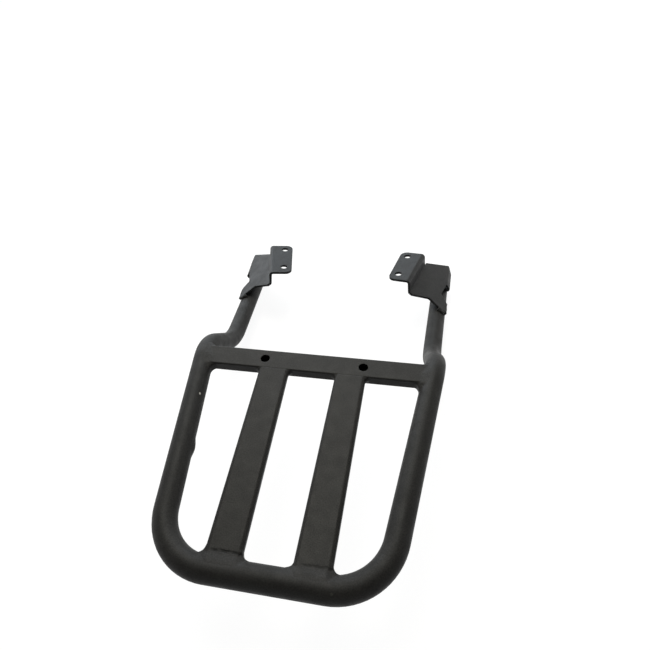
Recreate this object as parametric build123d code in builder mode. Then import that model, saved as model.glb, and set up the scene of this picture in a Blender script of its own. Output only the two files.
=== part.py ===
from build123d import *
import os
from math import cos, hypot, radians, sin, tan

os.makedirs("parts", exist_ok=True)

# Luggage rack: a bent loop of round tube, a flat crossbar, two flat slats and two bent plate brackets.
# Origin: top face of the crossbar, midway between its two holes. +Y points forward, +Z up.

# Round tube of the loop
tube_d = 22.0
tube_wall = 2.0

# Deck, the plan of the loop at rail height
rail_half_front = 125.0
rail_half_rear = 94.5
deck_length = 213.0
rear_bend_r = 52.0

# S-bend that steps each rail down to its arm, and the arm itself
crank_start = 20.5
crank_end = 74.5
crank_drop = 56.5
crank_half = 126.0
upper_bend_r = 47.0
lower_bend_r = 70.0
arm_run = 165.0
arm_spread = 10.4
arm_fall = 26.0

# Flat bars of the deck, whose tops are level
bar_rise = 8.5
crossbar_w = 24.0
crossbar_h = 12.0
crossbar_wall = 2.0
crossbar_edge_r = 1.5
strap_hole_d = 10.0
strap_hole_pitch = 106.0
slat_w = 32.0
slat_h = 10.0
slat_wall = 1.5
slat_edge_r = 4.0
slat_half_front = 41.0
slat_half_rear = 36.7

# Bracket: place and lie on the arm
plate_t = 3.0
fold_r = 2.0
bracket_run = 90.0
bracket_yaw = 14.2
bracket_pitch = 8.4
bracket_roll = 7.0
bracket_slope = 37.9
seat_reach = 49.6
seat_gap = 0.6

# Bracket flange and riser
flange_w = 29.7
flange_w_front = 32.6
flange_len = 71.4
flange_back = 19.0
flange_corner_r = 9.0
bolt_hole_d = 9.0
bolt_hole_pitch = 46.6
bolt_hole_edge = 10.7
bolt_hole_back = 13.8
riser_h = 17.6

# Bracket lower plate, measured outward from the riser and forward from the seat point
waist_w = 26.6
waist_back = 1.5
tail_w = 55.0
tail_back = 6.0
tail_end_w = 49.9
tail_end_fwd = 15.2
notch_w = 38.7
notch_fwd = 22.5
nose_w = 32.3
nose_fwd = 89.8
plate_front = 59.0
plate_corner_r = 3.0

# Lip folded down along the front outer edge of the lower plate, over the tube
lip_w = 41.7
lip_fwd = 48.5
lip_depth = 8.5
lip_angle = 30.0
lip_taper = 9.0

# Weld beads
collar_toe = 15.0
collar_crown = 2.0
collar_flank = 2.5
collar_under = 3.0
rail_lip = 0.2
slat_lip = 0.4
rail_leg = 5.5
rear_inner_leg = 5.0
rear_outer_leg = 7.5
front_leg = 4.0
web_root = 5.0
web_inset = 1.0
web_taper = 20.0
seam_r = 3.2
seam_inset = 1.5
lip_seam_len = 24.0
lip_seam_fall = 1.5

# Sizes that follow from the ones above
tube_r = tube_d / 2
tube_z = -bar_rise
rail_slant = (rail_half_front - rail_half_rear) / deck_length
crank_top = Vector(rail_half_front + rail_slant * crank_start, crank_start, tube_z)
arm_root = Vector(crank_half, crank_end, tube_z - crank_drop)
arm_tip = arm_root + Vector(arm_spread, arm_run, -arm_fall)
rear_corner = Vector(rail_half_rear, -deck_length, tube_z)
arm_dir = (arm_tip - arm_root).normalized()
rail_dir = Vector(rail_slant, 1, 0).normalized()
slat_front = Vector(slat_half_front, 0, -slat_h / 2)
slat_rear = Vector(slat_half_rear, -deck_length, -slat_h / 2)
slat_dir = (slat_rear - slat_front).normalized()


def mirrored(point):
    return Vector(-point.X, point.Y, point.Z)


right_points = [rear_corner, crank_top, arm_root, arm_tip]
loop_points = [mirrored(p) for p in reversed(right_points)] + right_points
bend_radii = [lower_bend_r, upper_bend_r, rear_bend_r]
loop_radii = bend_radii + bend_radii[::-1]

# Bent loop of round tube, open at both arm ends
with BuildPart() as loop_tube:
    with BuildLine() as loop_path:
        FilletPolyline(*loop_points, radius=loop_radii)
    with BuildSketch(Plane(loop_path.line @ 0, z_dir=loop_path.line % 0)):
        Circle(tube_r)
        Circle(tube_r - tube_wall, mode=Mode.SUBTRACT)
    sweep()

# Outside of the loop as a full rod, which copes everything that is welded to the tube
with BuildPart() as tube_rod:
    with BuildLine() as rod_path:
        FilletPolyline(*loop_points, radius=loop_radii)
    with BuildSketch(Plane(rod_path.line @ 0, z_dir=rod_path.line % 0)):
        Circle(tube_r)
    sweep()

# Crossbar: flat rectangular tube between the rails, with two holes through its top wall
crossbar_plane = Plane((0, 0, -crossbar_h / 2), x_dir=(0, 1, 0), z_dir=(1, 0, 0))
with BuildPart() as crossbar_rod:
    with BuildSketch(crossbar_plane):
        RectangleRounded(crossbar_w, crossbar_h, crossbar_edge_r)
    extrude(amount=rail_half_front, both=True)

with BuildPart() as front_crossbar:
    add(crossbar_rod.part)
    with BuildSketch(crossbar_plane):
        Rectangle(crossbar_w - 2 * crossbar_wall, crossbar_h - 2 * crossbar_wall)
    extrude(amount=rail_half_front, both=True, mode=Mode.SUBTRACT)
    with BuildSketch():
        with GridLocations(strap_hole_pitch, 1, 2, 1):
            Circle(strap_hole_d / 2)
    extrude(amount=-crossbar_wall, mode=Mode.SUBTRACT)
    add(tube_rod.part, mode=Mode.SUBTRACT)

# Slats: flat tubes with round edges, butted to the crossbar and coped to the rear tube
slat_plane = Plane(slat_front, x_dir=slat_dir.cross(Vector(0, 0, 1)), z_dir=slat_dir)
slat_length = (slat_rear - slat_front).length
with BuildPart() as slat_rod:
    with BuildSketch(slat_plane):
        RectangleRounded(slat_w, slat_h, slat_edge_r)
    extrude(amount=slat_length)
    split(bisect_by=Plane.XZ.offset(crossbar_w / 2), keep=Keep.TOP)

with BuildPart() as right_slat:
    add(slat_rod.part)
    with BuildSketch(slat_plane):
        RectangleRounded(slat_w - 2 * slat_wall, slat_h - 2 * slat_wall, slat_edge_r - slat_wall)
    extrude(amount=slat_length, mode=Mode.SUBTRACT)
    add(tube_rod.part, mode=Mode.SUBTRACT)

with BuildPart() as left_slat:
    mirror(right_slat.part, about=Plane.YZ)

# Bracket frame: the plate lies along the arm, turned outward and nose down, with its seat over the tube
yaw = radians(bracket_yaw)
pitch = radians(bracket_pitch)
roll = radians(bracket_roll)
slope = radians(bracket_slope)
along = Vector(sin(yaw) * cos(pitch), cos(yaw) * cos(pitch), -sin(pitch))
level_across = Vector(cos(yaw), -sin(yaw), 0)
level_up = level_across.cross(along)
across = level_across * cos(roll) + level_up * sin(roll)
flange_up = level_up * cos(roll) - level_across * sin(roll)
plate_out = across * cos(slope) - flange_up * sin(slope)
plate_up = across * sin(slope) + flange_up * cos(slope)
seat_point = arm_root + arm_dir * bracket_run
plate_root = seat_point + plate_up * (tube_r + seat_gap + plate_t) - plate_out * seat_reach
flange_root = plate_root + flange_up * riser_h
flange_plane = Plane(flange_root, x_dir=across, z_dir=flange_up)
plate_plane = Plane(plate_root, x_dir=plate_out, z_dir=plate_up)
section_plane = Plane(flange_root, x_dir=across, z_dir=-along)
flange_far = flange_len - flange_back
blank_w = tail_w + plate_t
flange_flare = (flange_w_front - flange_w) / flange_len
rear_bolt = (bolt_hole_edge - flange_w - flange_flare * bolt_hole_back, bolt_hole_back - flange_back)
front_bolt = (rear_bolt[0] - flange_flare * bolt_hole_pitch, rear_bolt[1] + bolt_hole_pitch)
plate_root_2d = (0, -riser_h)
plate_end_2d = (blank_w * cos(slope), -riser_h - blank_w * sin(slope))

# Fold line of the lip, from its back end to the nose of the plate
lip_start = plate_plane.from_local_coords((lip_w, lip_fwd))
lip_end = plate_plane.from_local_coords((nose_w, nose_fwd))
lip_along = (lip_end - lip_start).normalized()
lip_out = lip_along.cross(plate_up)
lip_run = (lip_end - lip_start).length
lip_plane = Plane(lip_start, x_dir=lip_out, z_dir=-lip_along)
lip_bend = radians(lip_angle)
lip_setback = (fold_r + plate_t) * tan(lip_bend / 2)
lip_reach = lip_depth * cos(lip_bend)
lip_tip_2d = (lip_reach, -lip_depth * sin(lip_bend))
lip_grip = lip_setback + plate_t

# Folded blank: flange, riser and lower plate as one bent section
with BuildPart() as bracket_blank:
    with BuildSketch(section_plane.offset(flange_back)):
        with BuildLine():
            FilletPolyline((-flange_w_front, 0), (0, 0), plate_root_2d, plate_end_2d, radius=[fold_r + plate_t, fold_r])
            offset(amount=plate_t, side=Side.RIGHT)
        make_face()
    extrude(amount=-(flange_back + nose_fwd))

# Outline of the cut plate: the flange seen along its normal, the lower plate along its own
outline_depth = riser_h + 2 * plate_t
lip_back_trim = plate_plane.to_local_coords(lip_start - lip_out * lip_setback)
lip_nose_trim = plate_plane.to_local_coords(lip_end - lip_out * lip_setback)
with BuildPart() as bracket_outline:
    with BuildSketch(flange_plane) as flange_outline:
        with BuildLine():
            Polyline(
                (fold_r, -flange_back),
                (-flange_w, -flange_back),
                (-flange_w_front, flange_far),
                (fold_r, flange_far),
                close=True,
            )
        make_face()
        fillet(flange_outline.vertices().sort_by(Axis.X)[:2], flange_corner_r)
    extrude(amount=outline_depth, both=True)
    with BuildSketch(plate_plane) as plate_outline:
        with BuildLine():
            Polyline(
                (0, -flange_back),
                (2 * fold_r, -flange_back),
                (waist_w, -waist_back),
                (tail_w, -tail_back),
                (tail_end_w, tail_end_fwd),
                (notch_w, notch_fwd),
                (lip_back_trim.X, lip_back_trim.Y),
                (lip_nose_trim.X, lip_nose_trim.Y),
                (0, plate_front),
                close=True,
            )
        make_face()
        plate_corners = plate_outline.vertices().filter_by_position(Axis.Y, -flange_back / 2, notch_fwd + fold_r)
        fillet(plate_corners, plate_corner_r)
    extrude(amount=outline_depth, both=True)

# Lip along the fold line, tapered towards the nose
with BuildPart() as bracket_lip:
    with BuildSketch(lip_plane):
        with BuildLine():
            FilletPolyline((-lip_grip, 0), (0, 0), lip_tip_2d, radius=fold_r + plate_t)
            offset(amount=plate_t, side=Side.RIGHT)
        make_face()
    extrude(amount=-lip_run)
    with BuildSketch(Plane(lip_start, x_dir=lip_out, z_dir=plate_up)):
        with BuildLine():
            Polyline(
                (-lip_setback, 0),
                (lip_reach, 0),
                (lip_reach, lip_run - lip_taper),
                (-lip_setback, lip_run),
                close=True,
            )
        make_face()
    extrude(amount=outline_depth, both=True, mode=Mode.INTERSECT)

with BuildPart() as right_bracket:
    add(bracket_blank.part)
    add(bracket_outline.part, mode=Mode.INTERSECT)
    add(bracket_lip.part)
    with BuildSketch(flange_plane):
        with Locations(rear_bolt, front_bolt):
            Circle(bolt_hole_d / 2)
    extrude(amount=-plate_t, mode=Mode.SUBTRACT)
    add(tube_rod.part, mode=Mode.SUBTRACT)

with BuildPart() as left_bracket:
    mirror(right_bracket.part, about=Plane.YZ)


def web(corner, along_first, first_leg, along_second, second_leg, height):
    """Flat-faced bead in the upright corner of two pieces, thickest at mid height."""
    first = along_first.normalized()
    second = along_second.normalized()
    root = corner - first * web_root - second * web_root
    first_tip = corner + first * first_leg
    second_tip = corner + second * second_leg
    outline = [first_tip, second_tip, second_tip - first * web_root, root, first_tip - second * web_root]
    if first.cross(second).Z < 0:
        outline.reverse()
    with BuildPart() as bead:
        with BuildSketch(Plane.XY.offset(corner.Z)):
            with BuildLine():
                Polyline(*[(p.X, p.Y) for p in outline], close=True)
            make_face()
        extrude(amount=height / 2 - web_inset, both=True, taper=web_taper)
    return bead.part


def seam(start, end):
    """Round bead laid along a straight line."""
    with BuildPart() as bead:
        with BuildSketch(Plane(start, z_dir=end - start)):
            Circle(seam_r)
        extrude(amount=(end - start).length)
    return bead.part


# Collar where the crossbar meets the rail: a thin skin round the bar and a web in each upright corner
rail_point = Vector(rail_half_front, 0, -crossbar_h / 2)
rail_plane = Plane(rail_point, x_dir=(0, -1, 0), z_dir=(-1, 0, 0))
rail_side_x = rail_half_front - tube_r * hypot(1, rail_slant)
rail_webs = []
for side in (-1, 1):
    bar_edge = side * crossbar_w / 2
    web_corner = Vector(rail_side_x + rail_slant * bar_edge, bar_edge, -crossbar_h / 2)
    rail_webs.append(web(web_corner, Vector(-1, 0, 0), rail_leg, rail_dir * side, rail_leg, crossbar_h))

with BuildPart() as right_crossbar_weld:
    with BuildSketch(rail_plane.offset(collar_toe)):
        Rectangle(crossbar_w + 2 * rail_lip, crossbar_h + 2 * rail_lip)
    with BuildSketch(rail_plane):
        with Locations((0, (collar_crown - collar_under) / 2)):
            Rectangle(crossbar_w + 2 * collar_flank, crossbar_h + collar_crown + collar_under)
    loft()
    for bead in rail_webs:
        add(bead)
    add(crossbar_rod.part, mode=Mode.SUBTRACT)
    add(tube_rod.part, mode=Mode.SUBTRACT)

with BuildPart() as left_crossbar_weld:
    mirror(right_crossbar_weld.part, about=Plane.YZ)

# Collar where a slat meets the rear tube, built the same way round the slat's end
slat_end_plane = Plane(slat_rear, x_dir=slat_plane.x_dir, z_dir=-slat_dir)
slat_outward = Vector(-slat_dir.Y, slat_dir.X, 0)
tube_front = Vector(slat_rear.X, slat_rear.Y + tube_r, slat_rear.Z)
rear_webs = []
for side, rear_leg in ((1, rear_outer_leg), (-1, rear_inner_leg)):
    web_corner = tube_front + slat_outward * (side * slat_w / 2)
    rear_webs.append(web(web_corner, -slat_dir, rear_leg, Vector(side, 0, 0), rear_leg, slat_h))

with BuildPart() as right_slat_rear_weld:
    with BuildSketch(slat_end_plane.offset(collar_toe)):
        RectangleRounded(slat_w + 2 * slat_lip, slat_h + 2 * slat_lip, slat_edge_r)
    with BuildSketch(slat_end_plane):
        with Locations((0, (collar_crown - collar_under) / 2)):
            RectangleRounded(slat_w + 2 * collar_flank, slat_h + collar_crown + collar_under, slat_edge_r)
    loft()
    for bead in rear_webs:
        add(bead)
    add(slat_rod.part, mode=Mode.SUBTRACT)
    add(tube_rod.part, mode=Mode.SUBTRACT)

with BuildPart() as left_slat_rear_weld:
    mirror(right_slat_rear_weld.part, about=Plane.YZ)

# Corner beads where a slat butts the crossbar
butt_point = slat_front + slat_dir * (crossbar_w / 2 / -slat_dir.Y)
butt_webs = []
for side in (-1, 1):
    web_corner = butt_point + Vector(side * slat_w / 2 / -slat_dir.Y, 0, 0)
    butt_webs.append(web(web_corner, slat_dir, front_leg, Vector(side, 0, 0), front_leg, slat_h))

with BuildPart() as right_slat_inner_weld:
    add(butt_webs[0])
    add(slat_rod.part, mode=Mode.SUBTRACT)
    add(crossbar_rod.part, mode=Mode.SUBTRACT)

with BuildPart() as right_slat_outer_weld:
    add(butt_webs[1])
    add(slat_rod.part, mode=Mode.SUBTRACT)
    add(crossbar_rod.part, mode=Mode.SUBTRACT)

with BuildPart() as left_slat_inner_weld:
    mirror(right_slat_inner_weld.part, about=Plane.YZ)

with BuildPart() as left_slat_outer_weld:
    mirror(right_slat_outer_weld.part, about=Plane.YZ)

# Beads that tie the bracket to the arm: along the tail, across the tube at the back edge, under the lip
underside = plate_plane.offset(-plate_t)
tail_back_point = underside.from_local_coords((tail_w, -tail_back + seam_inset))
tail_front_point = underside.from_local_coords((tail_end_w, tail_end_fwd - seam_inset))
tail_seam = seam(tail_back_point, tail_front_point)
edge_slope = (tail_back - waist_back) / (tail_w - waist_w)
edge_outer_point = underside.from_local_coords((tail_w - seam_inset, -tail_back + edge_slope * seam_inset))
edge_inner_point = underside.from_local_coords((tail_w - tube_r, -tail_back + edge_slope * tube_r))
edge_seam = seam(edge_outer_point, edge_inner_point)
lip_edge_out = lip_reach - plate_t * sin(lip_bend)
lip_edge_drop = lip_depth * sin(lip_bend) + plate_t * cos(lip_bend)
lip_edge = lip_start + lip_out * lip_edge_out - plate_up * lip_edge_drop
lip_seam_start = lip_edge + lip_along * seam_inset - plate_up * seam_inset
lip_seam_end = lip_seam_start + lip_along * lip_seam_len - plate_up * lip_seam_fall
lip_seam = seam(lip_seam_start, lip_seam_end)

with BuildPart() as right_tail_weld:
    add(tail_seam)
    add(right_bracket.part, mode=Mode.SUBTRACT)
    add(tube_rod.part, mode=Mode.SUBTRACT)

with BuildPart() as right_edge_weld:
    add(edge_seam)
    add(tail_seam, mode=Mode.SUBTRACT)
    add(bracket_outline.part, mode=Mode.SUBTRACT)
    add(tube_rod.part, mode=Mode.SUBTRACT)

with BuildPart() as right_lip_weld:
    add(lip_seam)
    add(right_bracket.part, mode=Mode.SUBTRACT)
    add(tube_rod.part, mode=Mode.SUBTRACT)

with BuildPart() as left_tail_weld:
    mirror(right_tail_weld.part, about=Plane.YZ)

with BuildPart() as left_edge_weld:
    mirror(right_edge_weld.part, about=Plane.YZ)

with BuildPart() as left_lip_weld:
    mirror(right_lip_weld.part, about=Plane.YZ)

pieces = {
    "loop_tube": loop_tube,
    "front_crossbar": front_crossbar,
    "left_slat": left_slat,
    "right_slat": right_slat,
    "left_bracket": left_bracket,
    "right_bracket": right_bracket,
    "left_crossbar_weld": left_crossbar_weld,
    "right_crossbar_weld": right_crossbar_weld,
    "left_slat_inner_weld": left_slat_inner_weld,
    "left_slat_outer_weld": left_slat_outer_weld,
    "right_slat_inner_weld": right_slat_inner_weld,
    "right_slat_outer_weld": right_slat_outer_weld,
    "left_slat_rear_weld": left_slat_rear_weld,
    "right_slat_rear_weld": right_slat_rear_weld,
    "left_tail_weld": left_tail_weld,
    "right_tail_weld": right_tail_weld,
    "left_edge_weld": left_edge_weld,
    "right_edge_weld": right_edge_weld,
    "left_lip_weld": left_lip_weld,
    "right_lip_weld": right_lip_weld,
}
for label, piece in pieces.items():
    piece.part.label = label
    export_step(piece.part, f"parts/{label}.step")
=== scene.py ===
import math

import bmesh
import bpy
from mathutils import Matrix, Vector, noise
from mathutils.bvhtree import BVHTree


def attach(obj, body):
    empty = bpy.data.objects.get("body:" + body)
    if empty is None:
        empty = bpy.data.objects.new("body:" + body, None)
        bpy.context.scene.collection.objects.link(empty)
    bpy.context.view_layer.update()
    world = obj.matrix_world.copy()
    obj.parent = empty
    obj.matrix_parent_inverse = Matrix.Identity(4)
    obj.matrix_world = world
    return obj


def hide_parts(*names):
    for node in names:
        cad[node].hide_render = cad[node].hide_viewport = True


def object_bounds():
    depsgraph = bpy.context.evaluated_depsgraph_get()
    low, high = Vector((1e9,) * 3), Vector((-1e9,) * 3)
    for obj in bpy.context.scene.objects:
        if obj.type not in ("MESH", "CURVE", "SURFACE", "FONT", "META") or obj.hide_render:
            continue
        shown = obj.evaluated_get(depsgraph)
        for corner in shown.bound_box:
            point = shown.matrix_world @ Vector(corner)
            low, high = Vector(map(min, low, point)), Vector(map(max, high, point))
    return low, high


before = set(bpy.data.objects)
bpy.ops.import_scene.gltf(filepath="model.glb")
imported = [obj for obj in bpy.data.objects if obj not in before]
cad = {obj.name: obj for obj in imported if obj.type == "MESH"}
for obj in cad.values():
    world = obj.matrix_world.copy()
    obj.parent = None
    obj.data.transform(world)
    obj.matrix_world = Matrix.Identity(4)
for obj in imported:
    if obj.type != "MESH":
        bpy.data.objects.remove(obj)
cad_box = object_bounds()
scene = bpy.context.scene
scene.view_settings.view_transform = "Standard"

MM = 0.001

# Sizes of the part that the added pieces follow
TUBE_R = 11.0 * MM
TUBE_AXIS_Z = -8.5 * MM
RAIL_HALF_FRONT = 125.0 * MM
RAIL_HALF_REAR = 94.5 * MM
DECK_LENGTH_MM = 213.0
DECK_LENGTH = DECK_LENGTH_MM * MM
CROSSBAR_W = 24.0 * MM
CROSSBAR_H = 12.0 * MM
CROSSBAR_EDGE_R = 1.5 * MM
SLAT_W = 32.0 * MM
SLAT_H = 10.0 * MM
SLAT_EDGE_R = 4 * MM
SLAT_HALF_FRONT = 41.0 * MM
SLAT_HALF_REAR = 36.7 * MM


class Graph:
    """A node tree with short calls for the nodes used here. Values are constants or outputs."""

    def __init__(self, owner, space):
        owner.use_nodes = True
        self.tree = owner.node_tree
        self.place = self.node("TexCoord").outputs[space]

    def node(self, kind):
        return self.tree.nodes.new("ShaderNode" + kind)

    def put(self, socket, value):
        if isinstance(value, bpy.types.NodeSocket):
            self.tree.links.new(value, socket)
        else:
            socket.default_value = value

    def math(self, operation, a, b=0.0):
        n = self.node("Math")
        n.operation = operation
        self.put(n.inputs[0], a)
        self.put(n.inputs[1], b)
        return n.outputs[0]

    def measure(self, operation, a, b=(0.0, 0.0, 0.0)):
        """A number from one or two vectors, such as a length or a distance."""
        n = self.node("VectorMath")
        n.operation = operation
        self.put(n.inputs[0], a)
        self.put(n.inputs[1], b)
        return n.outputs["Value"]

    def axes(self, vector):
        n = self.node("SeparateXYZ")
        self.put(n.inputs[0], vector)
        return n.outputs

    def noise(self, scale, detail=2.0, rough=0.5):
        n = self.node("TexNoise")
        self.put(n.inputs["Vector"], self.place)
        n.inputs["Scale"].default_value = scale
        n.inputs["Detail"].default_value = detail
        n.inputs["Roughness"].default_value = rough
        return n.outputs["Fac"]

    def span(self, value, low, high, out_low=0.0, out_high=1.0):
        n = self.node("MapRange")
        n.interpolation_type = "SMOOTHSTEP"
        self.put(n.inputs["Value"], value)
        n.inputs["From Min"].default_value = low
        n.inputs["From Max"].default_value = high
        n.inputs["To Min"].default_value = out_low
        n.inputs["To Max"].default_value = out_high
        return n.outputs["Result"]

    def mix(self, factor, a, b):
        n = self.node("Mix")
        n.data_type = "RGBA"
        self.put(n.inputs[0], factor)
        self.put(n.inputs[6], a)
        self.put(n.inputs[7], b)
        return n.outputs[2]

    def scale_colour(self, colour, factor):
        n = self.node("VectorMath")
        n.operation = "SCALE"
        self.put(n.inputs[0], colour)
        self.put(n.inputs["Scale"], factor)
        return n.outputs[0]

    def bump(self, height, distance, strength, normal):
        n = self.node("Bump")
        n.inputs["Strength"].default_value = strength
        n.inputs["Distance"].default_value = distance
        self.put(n.inputs["Height"], height)
        self.put(n.inputs["Normal"], normal)
        return n.outputs["Normal"]

    def rounded(self, radius):
        n = self.node("Bevel")
        n.samples = 6
        n.inputs["Radius"].default_value = radius
        return n.outputs["Normal"]

    def seen(self):
        """1 for rays that show the thing itself: straight, mirrored or through glass."""
        path = self.node("LightPath").outputs
        shown = self.math("MAXIMUM", path["Is Camera Ray"], path["Is Glossy Ray"])
        return self.math("MAXIMUM", shown, path["Is Transmission Ray"])


# Noise of the coat, in cells per metre
MOTTLE_SCALE = 11.0
PATCH_SCALE = 70.0
GRAIN_SCALE = 900.0
FINE_SCALE = 3200.0
DUST_SCALE = 38.0
SHEEN_SCALE = 95.0
WEAR_SCALE = 160.0
RIPPLE_SCALE = 260.0
LUMP_SCALE = 520.0
SPATTER_AND_GLINT_SCALE = 900.0
WANDER_SCALE = 150.0
BREAK_SCALE = 210.0
RAGGED_SCALE = 1100.0

# Where nearly all of a noise's values lie, and its middle
LOW, MIDDLE, HIGH = 0.3, 0.5, 0.7

# Heights of the relief, in metres
RIPPLE_HEIGHT = 0.00030
GRAIN_HEIGHT = 0.00016
FINE_HEIGHT = 0.00006
LUMP_HEIGHT = 0.0005
CREASE_HEIGHT = 0.0005

# Tones that show on or through the coat, and how much of them; the crease and pit tones are
# painted shade, the speck tone paints glints on spatter
DUST = (0.13, 0.127, 0.120, 1)
DUST_COVER = 0.05
WORN = (0.10, 0.10, 0.10, 1)
WORN_COVER = 0.16
WORN_POLISH = 0.08
# specks of weld spatter, painted lighter as painted glints
SPATTER_AND_GLINT = (0.16, 0.16, 0.16, 1)
SPATTER_AND_GLINT_COVER = 0.5
# painted shade laid along the crease lines at the toe of the rear welds
CREASE_SHADE = (0.003, 0.003, 0.003, 1)
BARE_METAL = (0.42, 0.41, 0.38, 1)
SCUFF = (0.12, 0.12, 0.11, 1)
# painted shade for a pit, with no hollow under it
PIT_SHADE = (0.004, 0.004, 0.004, 1)


def coat_colour(g, base, grain, facing, mottle):
    """Base colour with mottling and grain, and dust where the surface faces up."""
    slow = g.span(g.noise(MOTTLE_SCALE, 3.0), LOW, HIGH, 1 - 0.10 * mottle, 1 + 0.08 * mottle)
    patch = g.span(g.noise(PATCH_SCALE, 4.0, 0.6), LOW, HIGH, 1 - 0.06 * mottle, 1 + 0.06 * mottle)
    colour = g.scale_colour(base, slow)
    colour = g.scale_colour(colour, patch)
    colour = g.scale_colour(colour, g.span(grain, LOW, HIGH, 0.72, 1.28))
    lying = g.span(g.axes(facing)[2], 0.55, 0.98)
    dust = g.math("MULTIPLY", lying, g.span(g.noise(DUST_SCALE, 5.0, 0.62), 0.42, 0.75))
    return g.mix(g.math("MULTIPLY", dust, DUST_COVER * mottle), colour, DUST)


def worn_edges(g, colour, roughness, soft, facing):
    """Edges rubbed lighter and smoother, where the softened normal turns from the face's own."""
    turn = g.math("SUBTRACT", 1.0, g.measure("DOT_PRODUCT", soft, facing))
    rubbed = g.span(g.noise(WEAR_SCALE, 4.0, 0.65), 0.35, 0.65)
    edge = g.math("MULTIPLY", g.span(turn, 0.01, 0.20), rubbed)
    colour = g.mix(g.math("MULTIPLY", edge, WORN_COVER), colour, WORN)
    return colour, g.math("SUBTRACT", roughness, g.math("MULTIPLY", edge, WORN_POLISH))


def crease_line(g, spot, y, half, wander, left, right):
    """1 on a broken line across the bars that wanders about y from left to right, 0 off it."""
    drift = g.math("SUBTRACT", g.noise(WANDER_SCALE, 3.0, 0.6), MIDDLE)
    shift = g.math("MULTIPLY", drift, wander)
    gap = g.math("ABSOLUTE", g.math("SUBTRACT", g.math("SUBTRACT", spot[1], y), shift))
    line = g.span(gap, half * 0.3, half * 2.0, 1.0, 0.0)
    line = g.math("MULTIPLY", line, g.span(spot[0], left - 0.003, left + 0.004))
    line = g.math("MULTIPLY", line, g.span(spot[0], right - 0.002, right + 0.002, 1.0, 0.0))
    broken = g.span(g.noise(BREAK_SCALE, 3.0, 0.6), 0.32, 0.58, 0.25, 1.0)
    return g.math("MULTIPLY", line, broken)


def chip_mask(g, place, size):
    """1 inside a small spot with a ragged rim, 0 outside."""
    away = g.measure("DISTANCE", g.place, place)
    uneven = g.math("SUBTRACT", g.noise(RAGGED_SCALE, 2.0), MIDDLE)
    ragged = g.math("ADD", away, g.math("MULTIPLY", uneven, size * 0.9))
    return g.span(ragged, size * 0.55, size * 0.95, 1.0, 0.0)


def powder_coat(
    name, base, rough, edge_radius, chips=(), creases=(), lumps=0.0, gloss=0.10, mottle=1.0
):
    """Satin black powder coat with grain, dust, rubbed edges, weld lumps with specks painted
    lighter as glints, creases and a pit with painted shade, and chips.
    """
    mat = bpy.data.materials.new(name)
    g = Graph(mat, "Object")
    facing = g.node("NewGeometry").outputs["Normal"]
    grain = g.noise(GRAIN_SCALE, 3.0, 0.62)
    soft = g.rounded(edge_radius)
    colour = coat_colour(g, base, grain, facing, mottle)
    roughness = g.span(g.noise(SHEEN_SCALE, 3.0), LOW, HIGH, rough - 0.05, rough + 0.06)
    colour, roughness = worn_edges(g, colour, roughness, soft, facing)
    normal = g.bump(g.noise(RIPPLE_SCALE), RIPPLE_HEIGHT, 0.10, soft)
    normal = g.bump(grain, GRAIN_HEIGHT, 0.32, normal)
    normal = g.bump(g.noise(FINE_SCALE, 1.0), FINE_HEIGHT, 0.30, normal)
    if lumps:
        normal = g.bump(g.noise(LUMP_SCALE, 3.0, 0.6), LUMP_HEIGHT, lumps, normal)
        # weld spatter specks painted lighter, as painted glints on the lumps
        spatter_and_glint = g.span(g.noise(SPATTER_AND_GLINT_SCALE, 1.0), 0.70, 0.76)
        colour = g.mix(g.math("MULTIPLY", spatter_and_glint, lumps * SPATTER_AND_GLINT_COVER), colour, SPATTER_AND_GLINT)
    if creases:
        spot = g.axes(g.place)
    for *course, depth in creases:
        line = crease_line(g, spot, *course)
        # painted shade: the crease line darkens the colour, besides its bump
        colour = g.mix(g.math("MULTIPLY", line, depth), colour, CREASE_SHADE)
        normal = g.bump(g.math("SUBTRACT", 1.0, line), CREASE_HEIGHT, 0.6 * depth, normal)
    # chips and scuffs in their own tones; the pit's tone is painted shade
    for place, size, tone, cover in chips:
        colour = g.mix(g.math("MULTIPLY", chip_mask(g, place, size), cover), colour, tone)
    bsdf = g.tree.nodes["Principled BSDF"]
    g.put(bsdf.inputs["Base Color"], colour)
    g.put(bsdf.inputs["Roughness"], roughness)
    g.put(bsdf.inputs["Normal"], normal)
    bsdf.inputs["Specular IOR Level"].default_value = gloss
    return mat


# Chips, scuffs and a pit on the rails, the right bend and the rear, the pit painted dark as shade:
# place, size, tone, cover
tube_chips = (
    (Vector((-0.1092, -0.0523, -0.0012)), 0.0016, BARE_METAL, 0.95),
    (Vector((0.1251, -0.0712, -0.0043)), 0.0018, SCUFF, 0.6),
    (Vector((0.1173, 0.0500, -0.0318)), 0.0016, SCUFF, 0.6),
    (Vector((0.0879, -0.2083, -0.0023)), 0.0012, PIT_SHADE, 0.8),
    (Vector((0.0551, -0.2178, 0.0012)), 0.0014, SCUFF, 0.22),
)

# Crease where the coat sinks in at the toe of the rear welds, with a bump and painted shade, plain
# on
# the left slat and faint on the right: Y, half width, wander, left and right end in X, depth of
# both
toe_creases = (
    (-0.1995, 0.0009, 0.0028, -0.0470, -0.0188, 0.94),
    (-0.2000, 0.0007, 0.0040, 0.0285, 0.0540, 0.55),
)

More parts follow.
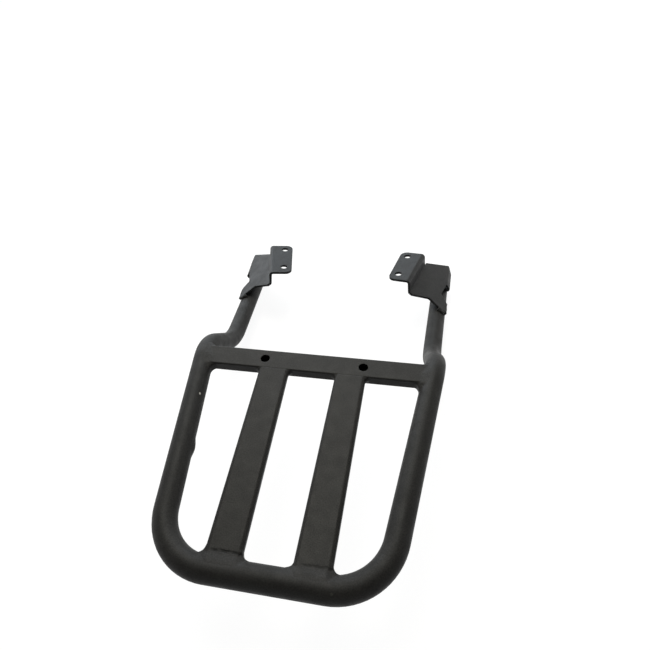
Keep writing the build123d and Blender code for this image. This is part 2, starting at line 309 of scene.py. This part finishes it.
tube_coat = powder_coat(
    "tube_coat", (0.0220, 0.0216, 0.0209), rough=0.50, edge_radius=0.0006,
    chips=tube_chips, gloss=0.12,
)
bar_coat = powder_coat(
    "bar_coat", (0.0245, 0.0240, 0.0230), rough=0.40, edge_radius=0.0008, creases=toe_creases,
)
bracket_coat = powder_coat(
    "bracket_coat", (0.0258, 0.0262, 0.0268), rough=0.40, edge_radius=0.0013, mottle=0.3,
)
fillet_coat = powder_coat(
    "fillet_coat", (0.0232, 0.0227, 0.0220), rough=0.47, edge_radius=0.0007,
    creases=toe_creases, lumps=0.10, gloss=0.11,
)
bead_coat = powder_coat(
    "bead_coat", (0.0250, 0.0248, 0.0245), rough=0.36, edge_radius=0.0005, lumps=0.30, gloss=0.16,
)


def coat_of(name):
    if name.endswith("_weld"):
        return bead_coat
    if name.endswith("_bracket"):
        return bracket_coat
    return tube_coat if name == "loop_tube" else bar_coat


for name in cad:
    data = cad[name].data
    data.materials.clear()
    data.materials.append(coat_of(name))


# Welds as they look under the coat: each grows out of the pieces it joins, so these stand for
# the plain CAD beads
MERGE_DIST = 1e-6
CUT_DIST = 1e-7
CURVE_STEPS = 8
ARC_STEP = 15
X, Y = 0, 1


def cut_plane(axis, place, outward):
    """Plane square to one axis, behind which a stretch of tube is kept."""
    point, normal = Vector(), Vector()
    point[axis], normal[axis] = place, outward
    return point, normal


def run_of_tube(bm, planes):
    """Adds the outside of a stretch of the loop between planes, closed at its ends."""
    cut = bmesh.new()
    cut.from_mesh(cad["loop_tube"].data)
    bmesh.ops.remove_doubles(cut, verts=cut.verts, dist=MERGE_DIST)
    for point, normal in planes:
        bmesh.ops.bisect_plane(
            cut, geom=list(cut.verts) + list(cut.edges) + list(cut.faces), dist=CUT_DIST,
            plane_co=point, plane_no=normal, clear_outer=True,
        )
    islands = []
    left = set(cut.verts)
    while left:
        stack = [left.pop()]
        island = set(stack)
        while stack:
            for e in stack.pop().link_edges:
                for v in e.verts:
                    if v in left:
                        left.remove(v)
                        island.add(v)
                        stack.append(v)
        islands.append(island)

    def reach(island):
        return sum(max(v.co[i] for v in island) - min(v.co[i] for v in island) for i in range(3))

    outside = max(islands, key=reach)
    bmesh.ops.delete(cut, geom=[v for v in cut.verts if v not in outside], context="VERTS")
    bmesh.ops.holes_fill(cut, edges=[e for e in cut.edges if e.is_boundary], sides=0)
    bmesh.ops.triangulate(cut, faces=cut.faces)
    pour(cut, bm)


def pour(source, bm):
    """Adds one bmesh to another and frees it."""
    mesh = bpy.data.meshes.new("part")
    source.to_mesh(mesh)
    source.free()
    bm.from_mesh(mesh)
    bpy.data.meshes.remove(mesh)


def loft(bm, rings):
    """Adds a closed solid through rings of points that have the same number each."""
    rings = [[bm.verts.new(p) for p in ring] for ring in rings]
    count = len(rings[0])
    for low, high in zip(rings, rings[1:]):
        for i in range(count):
            j = (i + 1) % count
            bm.faces.new((low[i], low[j], high[j], high[i]))
    bm.faces.new(rings[0][::-1])
    bm.faces.new(rings[-1])


def run_of_bar(bm, start, end, width, height, radius):
    """Adds a solid flat bar with rounded edges whose middle line runs from start to end."""
    along = (end - start).normalized()
    side = along.cross(Vector((0, 0, 1))).normalized()
    outline = []
    for k, (sx, sz) in enumerate(((1, 1), (-1, 1), (-1, -1), (1, -1))):
        for degrees in range(90 * k, 90 * k + 91, ARC_STEP):
            turn = math.radians(degrees)
            x = sx * (width / 2 - radius) + radius * math.cos(turn)
            z = sz * (height / 2 - radius) + radius * math.sin(turn)
            outline.append(side * x + Vector((0, 0, z)))
    loft(bm, [[p + o for o in outline] for p in (start, end)])


def quarter(start, end, first_axis):
    """Hollow corner curve in plan that leaves start along one axis and arrives along the other."""
    points = []
    for k in range(CURVE_STEPS + 1):
        turn = math.pi / 2 * k / CURVE_STEPS
        slow, fast = 1 - math.cos(turn), math.sin(turn)
        fx, fy = (fast, slow) if first_axis == X else (slow, fast)
        points.append((start[0] + (end[0] - start[0]) * fx, start[1] + (end[1] - start[1]) * fy))
    return points


def flare(bm, one_side, other_side, tops, bottom, falls, shoulders):
    """Adds a solid that spreads between two plan curves of the same number of points. It has its
    own top height at each, and that top falls away towards either side as the solid spreads."""
    rings = []
    for k, (a, b, top) in enumerate(zip(one_side, other_side, tops)):
        spread = min(k / CURVE_STEPS, 1.0)
        first, last = Vector((*a, 0)), Vector((*b, 0))
        places = (
            (first, top - falls[0] * spread),
            (first.lerp(last, shoulders[0]), top),
            (last.lerp(first, shoulders[1]), top),
            (last, top - falls[1] * spread),
            (last, bottom),
            (first, bottom),
        )
        rings.append([(p.x, p.y, z) for p, z in places])
    loft(bm, rings)


# Bead relief is full near the CAD bead and gone beyond its reach
BEAD_REACH = 3.0 * MM
BEAD_FADE = 2.5 * MM
FILLET_VOXEL = 0.55 * MM
FILLET_SINK = 0.12 * MM
BEAD_VOXEL = 0.40 * MM
# A smaller wave lies on the relief's main one: its length and its height as shares of that
SMALL_WAVE, SMALL_SHARE = 0.4, 0.5


def weld_piece(name, nodes, bm, voxel, rounds, wave, depth, sink, material, keep_beads=True):
    """Fuses the plain beads with what they join, rounds the corners and lays a hand-made relief."""
    beads = bmesh.new()
    for node in nodes:
        beads.from_mesh(cad[node].data)
    bmesh.ops.remove_doubles(beads, verts=beads.verts, dist=MERGE_DIST)
    near = BVHTree.FromBMesh(beads)
    if keep_beads:
        pour(beads, bm)
    else:
        beads.free()
    bmesh.ops.recalc_face_normals(bm, faces=bm.faces)
    rough = bpy.data.meshes.new(name)
    bm.to_mesh(rough)
    bm.free()
    piece = bpy.data.objects.new(name, rough)
    scene.collection.objects.link(piece)
    fuse = piece.modifiers.new("fuse", "REMESH")
    fuse.mode = "VOXEL"
    fuse.voxel_size = voxel
    ease = piece.modifiers.new("ease", "SMOOTH")
    ease.factor = 0.5
    ease.iterations = rounds
    shown = piece.evaluated_get(bpy.context.evaluated_depsgraph_get())
    fused = bpy.data.meshes.new_from_object(shown)
    piece.modifiers.clear()
    piece.data = fused
    bpy.data.meshes.remove(rough)
    fused.name = name
    normals = [v.normal.copy() for v in fused.vertices]
    for v, n in zip(fused.vertices, normals):
        away = near.find_nearest(v.co)[3]
        held = min(max((BEAD_REACH - away) / BEAD_FADE, 0.0), 1.0)
        held = held * held * (3 - 2 * held)
        small = noise.noise(v.co / (SMALL_WAVE * wave))
        swell = noise.noise(v.co / wave) + SMALL_SHARE * small
        v.co += n * (depth * swell * held - sink * (1 - held))
    fused.shade_smooth()
    fused.materials.append(material)
    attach(piece, "root")
    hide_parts(*nodes)


def plan(sign, x, y):
    """Point in plan, from millimetres, on the left or the right side."""
    return sign * x * MM, y * MM


def crossbar_joint(side, sign):
    """Crossbar's end on the rail: the top widens both ways and climbs onto the tube."""
    joint = bmesh.new()
    run_of_tube(joint, [
        cut_plane(Y, 30 * MM, 1),
        cut_plane(Y, -34 * MM, -1),
        cut_plane(X, sign * 60 * MM, -sign),
    ])
    inner, outer = (Vector((sign * x * MM, 0, -CROSSBAR_H / 2)) for x in (92, 122))
    run_of_bar(joint, inner, outer, CROSSBAR_W, CROSSBAR_H, CROSSBAR_EDGE_R)
    near_y, far_y = -20, 16
    near_curve = quarter(plan(sign, 105.5, -12), plan(sign, 111.0, near_y), X)
    far_curve = quarter(plan(sign, 107.5, 11.6), plan(sign, 116.4, far_y), X)
    tops = [(-0.35 + 0.08 * k) * MM for k in range(len(near_curve))]
    for x, top in ((117, 1.1), (119, 1.6), (121, 1.9), (123, 2.2)):
        near_curve.append(plan(sign, x, near_y))
        far_curve.append(plan(sign, x, far_y))
        tops.append(top * MM)
    flare(
        joint, near_curve, far_curve, tops, bottom=-11.5 * MM,
        falls=(3.5 * MM, 2.6 * MM), shoulders=(0.22, 0.45),
    )
    weld_piece(
        f"{side}_crossbar_fillet", [f"{side}_crossbar_weld"], joint, FILLET_VOXEL, rounds=34,
        wave=5 * MM, depth=0.10 * MM, sink=FILLET_SINK, material=fillet_coat, keep_beads=False,
    )


def slat_ends(sign):
    """Front and rear end of a slat's middle line."""
    front = Vector((sign * SLAT_HALF_FRONT, 0, -SLAT_H / 2))
    rear = Vector((sign * SLAT_HALF_REAR, -DECK_LENGTH, -SLAT_H / 2))
    return front, rear


def slat_rear_joint(side, sign):
    """Slat's end on the rear tube: the top widens like a tail and climbs onto the tube."""
    joint = bmesh.new()
    run_of_tube(joint, [
        cut_plane(Y, -178 * MM, 1),
        cut_plane(X, sign * 2 * MM, -sign),
        cut_plane(X, sign * 78 * MM, sign),
    ])
    front, rear = slat_ends(sign)
    start = rear.lerp(front, 36 / DECK_LENGTH_MM)
    run_of_bar(joint, start, rear, SLAT_W, SLAT_H, SLAT_EDGE_R)
    outer_x, inner_x = 59.0, 15.2
    # the inner ear of the right weld is the smaller one
    inner_start = -196.0 if side == "left" else -198.6
    outer_curve = quarter(plan(sign, 52.9, -195.5), plan(sign, outer_x, -202.0), Y)
    inner_curve = quarter(plan(sign, 21.1, inner_start), plan(sign, inner_x, -202.5), Y)
    tops = [(-0.45 + 0.09 * k) * MM for k in range(len(outer_curve))]
    for y, top in ((-204, 0.8), (-206, 1.4), (-208, 1.9), (-210, 2.2), (-212, 2.35)):
        outer_curve.append(plan(sign, outer_x, y))
        inner_curve.append(plan(sign, inner_x, y))
        tops.append(top * MM)
    flare(
        joint, outer_curve, inner_curve, tops, bottom=-9.6 * MM,
        falls=(2.6 * MM, 2.6 * MM), shoulders=(0.22, 0.22),
    )
    weld_piece(
        f"{side}_slat_rear_fillet", [f"{side}_slat_rear_weld"], joint, FILLET_VOXEL, rounds=36,
        wave=5 * MM, depth=0.12 * MM, sink=FILLET_SINK, material=fillet_coat, keep_beads=False,
    )


def slat_front_joint(side, sign):
    """Slat's front end on the crossbar, with a bead in both corners."""
    joint = bmesh.new()
    front, rear = slat_ends(sign)
    start, end = (front.lerp(rear, y / DECK_LENGTH_MM) for y in (8, 34))
    run_of_bar(joint, start, end, SLAT_W, SLAT_H, SLAT_EDGE_R)
    # only the rear edge of the crossbar, clear of its hole
    edge_w = 5.5 * MM
    edge_y = edge_w / 2 - CROSSBAR_W / 2
    start, end = (Vector((sign * x * MM, edge_y, -CROSSBAR_H / 2)) for x in (12, 72))
    run_of_bar(joint, start, end, edge_w, CROSSBAR_H, CROSSBAR_EDGE_R)
    weld_piece(
        f"{side}_slat_front_fillet", [f"{side}_slat_inner_weld", f"{side}_slat_outer_weld"],
        joint, FILLET_VOXEL, rounds=30,
        wave=4 * MM, depth=0.06 * MM, sink=FILLET_SINK, material=fillet_coat,
    )


def bracket_bead(side, bead, welds, depth):
    """Beads between a bracket and its arm, with their own relief."""
    weld_piece(
        f"{side}_bracket_{bead}", [f"{side}_{weld}" for weld in welds], bmesh.new(), BEAD_VOXEL,
        rounds=12, wave=2.6 * MM, depth=depth, sink=0.0, material=bead_coat,
    )


for side, sign in (("left", -1), ("right", 1)):
    crossbar_joint(side, sign)
    slat_rear_joint(side, sign)
    slat_front_joint(side, sign)
    bracket_bead(side, "tail_bead", ("tail_weld", "edge_weld"), 0.45 * MM)
    bracket_bead(side, "lip_bead", ("lip_weld",), 0.32 * MM)


def coat_run(name, centre, along, facing, length, spread, height):
    """Low swelling where the coat ran on a tube: a thin closed shell, its rim let into the wall."""
    across = along.cross(facing)
    cut_in, shell = 0.15 * MM, 1.0 * MM
    rows, columns = 25, 15
    bm = bmesh.new()
    layers = []
    for inside in (False, True):
        layer = []
        for i in range(rows):
            s = 2 * i / (rows - 1) - 1
            for j in range(columns):
                a = 2 * j / (columns - 1) - 1
                rise = (height + cut_in) * (1 - s * s) ** 2 * (1 - a * a) ** 2 - cut_in
                reach = TUBE_R + (-shell if inside else rise)
                turn = math.radians(spread) * a
                around = facing * math.cos(turn) + across * math.sin(turn)
                layer.append(bm.verts.new(centre + along * (s * length / 2) + around * reach))
        layers.append(layer)
    for layer in layers:
        for i in range(rows - 1):
            for j in range(columns - 1):
                k = i * columns + j
                bm.faces.new((layer[k], layer[k + 1], layer[k + columns + 1], layer[k + columns]))
    rim = list(range(columns))
    rim += [i * columns + columns - 1 for i in range(1, rows)]
    rim += [(rows - 1) * columns + j for j in range(columns - 2, -1, -1)]
    rim += [i * columns for i in range(rows - 2, 0, -1)]
    for a, b in zip(rim, rim[1:] + rim[:1]):
        bm.faces.new((layers[0][a], layers[0][b], layers[1][b], layers[1][a]))
    bmesh.ops.recalc_face_normals(bm, faces=bm.faces)
    mesh = bpy.data.meshes.new(name)
    bm.to_mesh(mesh)
    bm.free()
    mesh.shade_smooth()
    mesh.materials.append(tube_coat)
    piece = bpy.data.objects.new(name, mesh)
    scene.collection.objects.link(piece)
    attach(piece, "root")


# The run lies on the left rail and faces inward and a little down
rail_front = Vector((-RAIL_HALF_FRONT, 0, TUBE_AXIS_Z))
rail_rear = Vector((-RAIL_HALF_REAR, -DECK_LENGTH, TUBE_AXIS_Z))
rail_along = (rail_rear - rail_front).normalized()
RUN_PLACE_MM = 110
coat_run(
    "left_rail_run", rail_front + rail_along * RUN_PLACE_MM * MM, rail_along,
    facing=Vector((0.9149, 0.1310, -0.3817)), length=25 * MM, spread=42, height=1.6 * MM,
)


def floor_material():
    """Grey floor that takes light and shadow, lifted to white where it is seen or mirrored."""
    mat = bpy.data.materials.new("studio_floor")
    g = Graph(mat, "Object")
    g.tree.nodes.remove(g.tree.nodes["Principled BSDF"])
    grey = g.node("BsdfDiffuse")
    grey.inputs["Color"].default_value = (0.15, 0.15, 0.15, 1)
    glow = g.node("Emission")
    near, far, near_level, far_level = 0.5, 1.6, 0.93, 1.0
    level = g.span(g.measure("LENGTH", g.place), near, far, near_level, far_level)
    g.put(glow.inputs["Strength"], g.math("MULTIPLY", g.seen(), level))
    both = g.node("AddShader")
    g.put(both.inputs[0], grey.outputs[0])
    g.put(both.inputs[1], glow.outputs[0])
    g.put(g.tree.nodes["Material Output"].inputs["Surface"], both.outputs[0])
    return mat


FLOOR_GAP = 0.0005
FLOOR_HALF = 12.0
floor_z = cad_box[0].z - FLOOR_GAP
corners = [
    (x * FLOOR_HALF, y * FLOOR_HALF, floor_z) for x, y in ((-1, -1), (1, -1), (1, 1), (-1, 1))
]
floor_mesh = bpy.data.meshes.new("studio_floor")
floor_mesh.from_pydata(corners, [], [(0, 1, 2, 3)])
floor_mesh.materials.append(floor_material())
floor = bpy.data.objects.new("studio_floor", floor_mesh)
scene.collection.objects.link(floor)


def studio_world():
    """Dim room with pale walls: up to some height it is white where it is seen or mirrored."""
    world = bpy.data.worlds.new("studio")
    g = Graph(world, "Generated")
    room = g.tree.nodes["Background"]
    room.inputs["Color"].default_value = (0.96, 0.98, 1.0, 1)
    room.inputs["Strength"].default_value = 0.02
    white = g.node("Background")
    white.inputs["Color"].default_value = (1, 1, 1, 1)
    white.inputs["Strength"].default_value = 1.0
    wall_top, dim_from = 0.40, 0.62
    low = g.span(g.axes(g.place)[2], wall_top, dim_from, 1.0, 0.0)
    walls = g.node("MixShader")
    g.put(walls.inputs[0], g.math("MULTIPLY", g.seen(), low))
    g.put(walls.inputs[1], room.outputs[0])
    g.put(walls.inputs[2], white.outputs[0])
    g.put(g.tree.nodes["World Output"].inputs["Surface"], walls.outputs[0])
    return world


scene.world = studio_world()


def soft_box(name, elevation, azimuth, distance, width, height, power, colour):
    """Area lamp aimed at the middle of the object. Azimuth is from forward towards the right."""
    data = bpy.data.lights.new(name, "AREA")
    data.shape = "RECTANGLE"
    data.size = width
    data.size_y = height
    data.energy = power
    data.color = colour
    lamp = bpy.data.objects.new(name, data)
    up, around = math.radians(elevation), math.radians(azimuth)
    toward = (math.sin(around) * math.cos(up), math.cos(around) * math.cos(up), math.sin(up))
    lamp.location = Vector(toward) * distance
    lamp.rotation_euler = (-lamp.location).to_track_quat("-Z", "Y").to_euler()
    scene.collection.objects.link(lamp)


# Name, elevation, azimuth, distance, width, height, power, colour
lamps = (
    ("top_light", 74, -25, 2.0, 1.1, 1.1, 22.0, (1.0, 0.98, 0.88)),
    ("key_light", 44, -17, 0.95, 0.95, 0.65, 6.6, (1.0, 0.985, 0.96)),
    ("window_light", 22, -12, 0.95, 0.70, 0.70, 2.3, (0.70, 0.86, 1.0)),
    ("left_wall_light", 10, -44, 2.0, 1.1, 1.1, 9.0, (0.84, 0.92, 1.0)),
    ("right_wall_light", 12, 45, 2.0, 1.1, 1.1, 2.4, (1.0, 1.0, 0.96)),
)
for lamp in lamps:
    soft_box(*lamp)

# Camera at the photograph's place, with the photograph's focal length in its own pixels
PHOTO_PIXELS = 650
FOCAL_PIXELS = 500.0
HALF_PIXEL = 0.5
SENSOR = 36.0
camera_data = bpy.data.cameras.new("camera")
camera_data.sensor_width = SENSOR
camera_data.lens = SENSOR * FOCAL_PIXELS / PHOTO_PIXELS
camera_data.clip_start = 0.01
camera_data.clip_end = 60.0
camera_data.shift_x = -HALF_PIXEL / PHOTO_PIXELS
camera_data.shift_y = HALF_PIXEL / PHOTO_PIXELS
camera = bpy.data.objects.new("camera", camera_data)
right = Vector((0.9833, 0.1693, -0.0675)).normalized()
ahead = Vector((-0.1644, 0.6641, -0.7294)).normalized()
up = right.cross(ahead).normalized()
right = ahead.cross(up).normalized()
turn = Matrix((right, up, -ahead)).transposed().to_4x4()
camera.matrix_world = Matrix.Translation((0.0964, -0.3206, 0.4121)) @ turn
scene.collection.objects.link(camera)
scene.camera = camera
